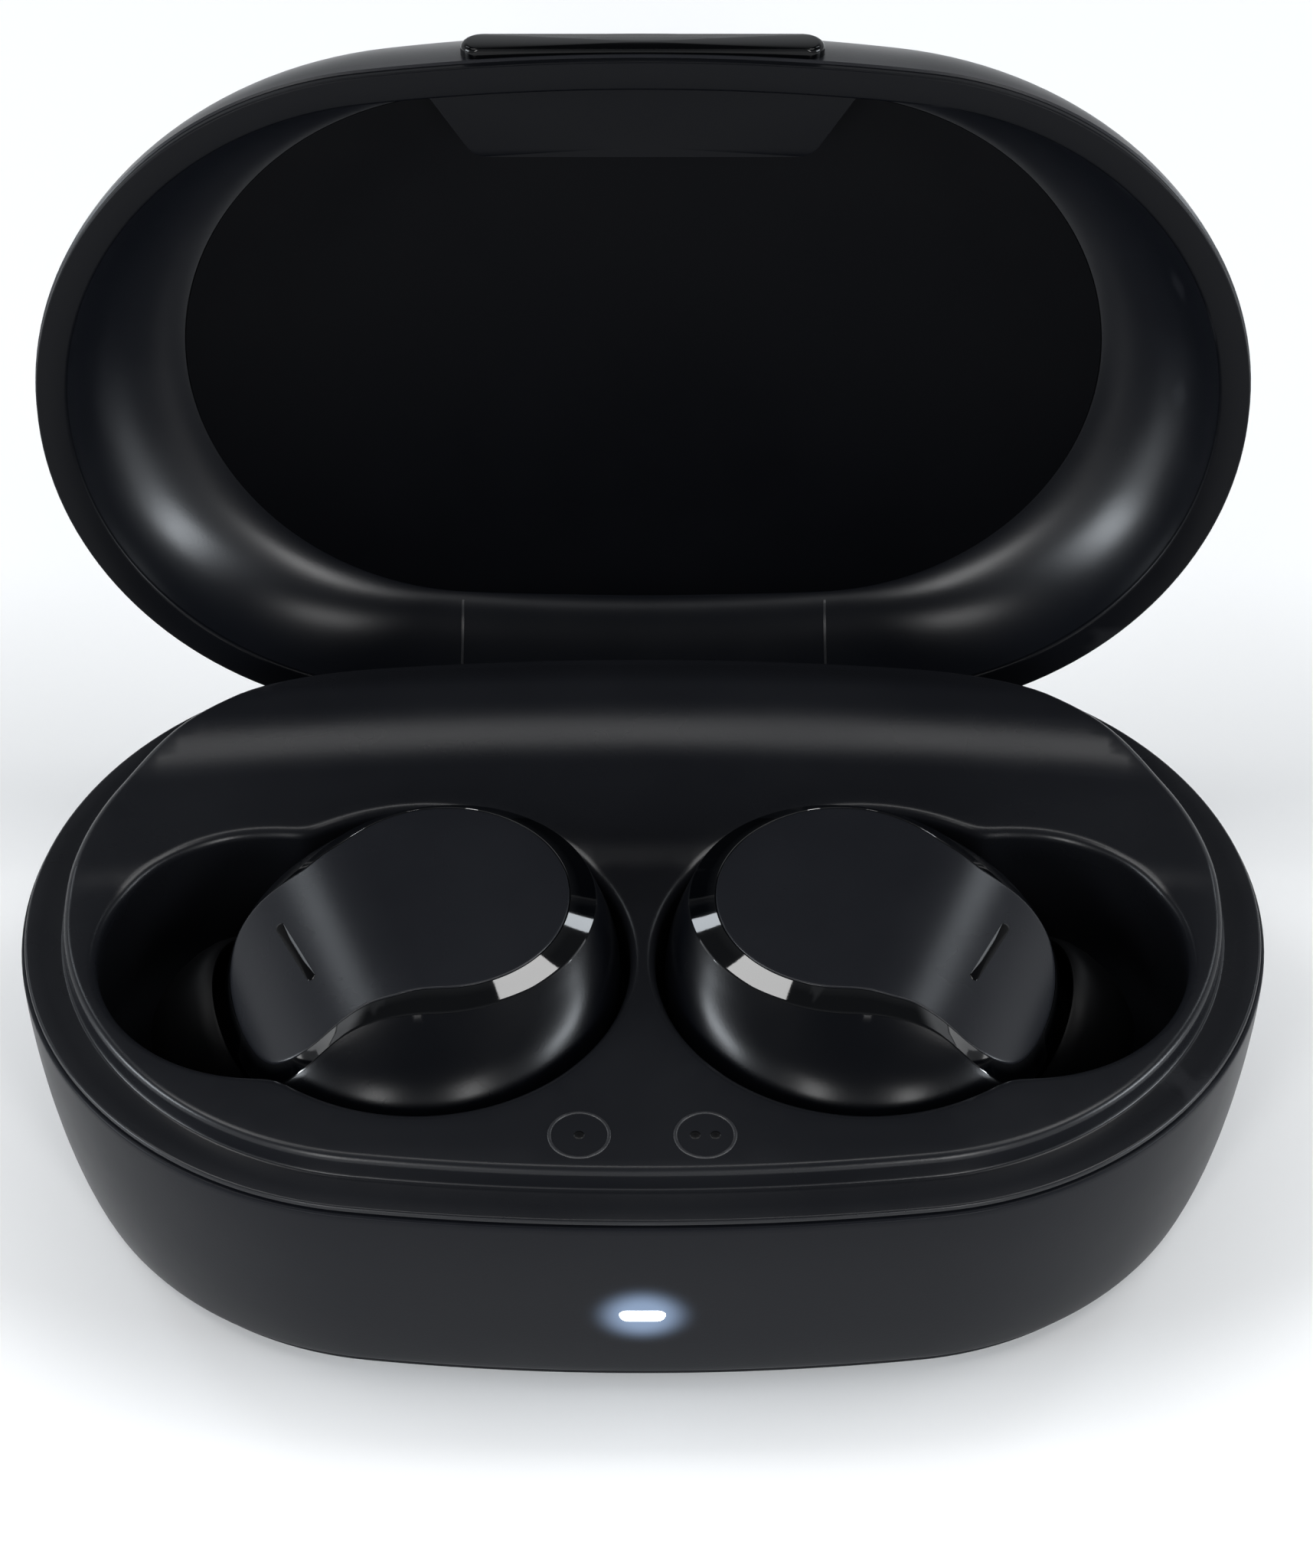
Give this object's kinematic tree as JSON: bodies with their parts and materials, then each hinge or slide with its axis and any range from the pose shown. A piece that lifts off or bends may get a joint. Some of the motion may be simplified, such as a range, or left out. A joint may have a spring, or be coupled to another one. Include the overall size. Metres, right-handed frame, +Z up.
{
  "type": "wireless earbuds charging case",
  "caption": "Rounded oval charging case with a domed hinged lid standing open and a pair of in-ear wireless earbuds resting in shaped wells.",
  "frame": {"origin": "centre of the flat underside that the case stands on", "axes": "+X to the right along the case's length, +Y from the front (lamp side) to the hinge, +Z up"},
  "size_m": [0.064, 0.0539, 0.0509],
  "materials": {
    "board": "satin",
    "bud_face": "satin",
    "bud_plastic": "satin",
    "case_plastic": "satin",
    "cell_can": "satin",
    "chip": "matte",
    "flex": "satin",
    "foot_plastic": "matte",
    "gold": "plated",
    "light_pipe": "gloss",
    "magnet": "plated",
    "mark_plastic": "satin",
    "mesh_metal": "fine mesh",
    "panel_plastic": "matte",
    "silicone": "matte",
    "slot_gloss": "gloss",
    "spring_steel": "drawn",
    "steel": "brushed",
    "strip_gloss": "gloss",
    "tray_plastic": "satin",
    "trim_gloss": "polished"
  },
  "bodies": {
    "base": {"base_foot": "foot_plastic", "base_magnets": "magnet", "base_shell": "case_plastic", "battery_cell": "cell_can", "case_screws": "steel", "cradle_magnets": "magnet", "flex_cable": "flex", "hall_sensor": "chip", "hinge_pin": "steel", "hinge_spring": "spring_steel", "inner_tray": "tray_plastic", "led_board": "board", "led_light_pipe": "light_pipe", "main_pcb": "board", "mark_disc_left": "mark_plastic", "mark_disc_right": "mark_plastic", "pcb_chips": "chip", "pogo_housings": "chip", "usb_c_shell": "steel", "usb_c_tongue": "chip"},
    "lid": {"lid_shell": "case_plastic", "lid_liner": "tray_plastic", "lid_ceiling_panel": "panel_plastic", "lid_hinge_cover": "tray_plastic", "lid_magnet_cover": "tray_plastic", "lid_magnets": "magnet", "lid_hinge_bracket": "tray_plastic", "thumb_strip": "strip_gloss"},
    "bud_left": {"bud_left_shell": "bud_plastic", "bud_left_faceplate": "bud_face", "bud_left_trim_ring": "trim_gloss", "bud_left_slot_insert": "slot_gloss", "bud_left_nozzle": "bud_plastic", "bud_left_nozzle_mesh": "mesh_metal", "bud_left_ear_tip": "silicone", "bud_left_driver": "cell_can", "bud_left_cell": "cell_can", "bud_left_board": "board", "bud_left_contacts": "gold", "bud_left_magnet": "magnet"},
    "pogo_left_1": {"pogo_pin_left_1": "gold"},
    "pogo_left_2": {"pogo_pin_left_2": "gold"},
    "bud_right": {"bud_right_shell": "bud_plastic", "bud_right_faceplate": "bud_face", "bud_right_trim_ring": "trim_gloss", "bud_right_slot_insert": "slot_gloss", "bud_right_nozzle": "bud_plastic", "bud_right_nozzle_mesh": "mesh_metal", "bud_right_ear_tip": "silicone", "bud_right_driver": "cell_can", "bud_right_cell": "cell_can", "bud_right_board": "board", "bud_right_contacts": "gold", "bud_right_magnet": "magnet"},
    "pogo_right_1": {"pogo_pin_right_1": "gold"},
    "pogo_right_2": {"pogo_pin_right_2": "gold"}
  },
  "joints": [
    {"name": "lid_hinge", "type": "hinge", "parent": "base", "child": "lid", "pos_m": [0, 0.018, 0.01275], "axis": [1, 0, 0], "range_deg": [0, 97.7], "stiffness_Nm_per_rad": 0.0008, "springref_deg": -17.19},
    {"name": "bud_left_lift", "type": "slide", "parent": "base", "child": "bud_left", "axis": [0, 0, 1], "range_m": [0, 0.028]},
    {"name": "pogo_left_1_press", "type": "slide", "parent": "base", "child": "pogo_left_1", "axis": [0, 0, 1], "range_m": [-0.0005, 0], "stiffness_N_per_m": 200, "springref_m": 0.0004},
    {"name": "pogo_left_2_press", "type": "slide", "parent": "base", "child": "pogo_left_2", "axis": [0, 0, 1], "range_m": [-0.0005, 0], "stiffness_N_per_m": 200, "springref_m": 0.0004},
    {"name": "bud_right_lift", "type": "slide", "parent": "base", "child": "bud_right", "axis": [0, 0, 1], "range_m": [0, 0.028]},
    {"name": "pogo_right_1_press", "type": "slide", "parent": "base", "child": "pogo_right_1", "axis": [0, 0, 1], "range_m": [-0.0005, 0], "stiffness_N_per_m": 200, "springref_m": 0.0004},
    {"name": "pogo_right_2_press", "type": "slide", "parent": "base", "child": "pogo_right_2", "axis": [0, 0, 1], "range_m": [-0.0005, 0], "stiffness_N_per_m": 200, "springref_m": 0.0004}
  ]
}
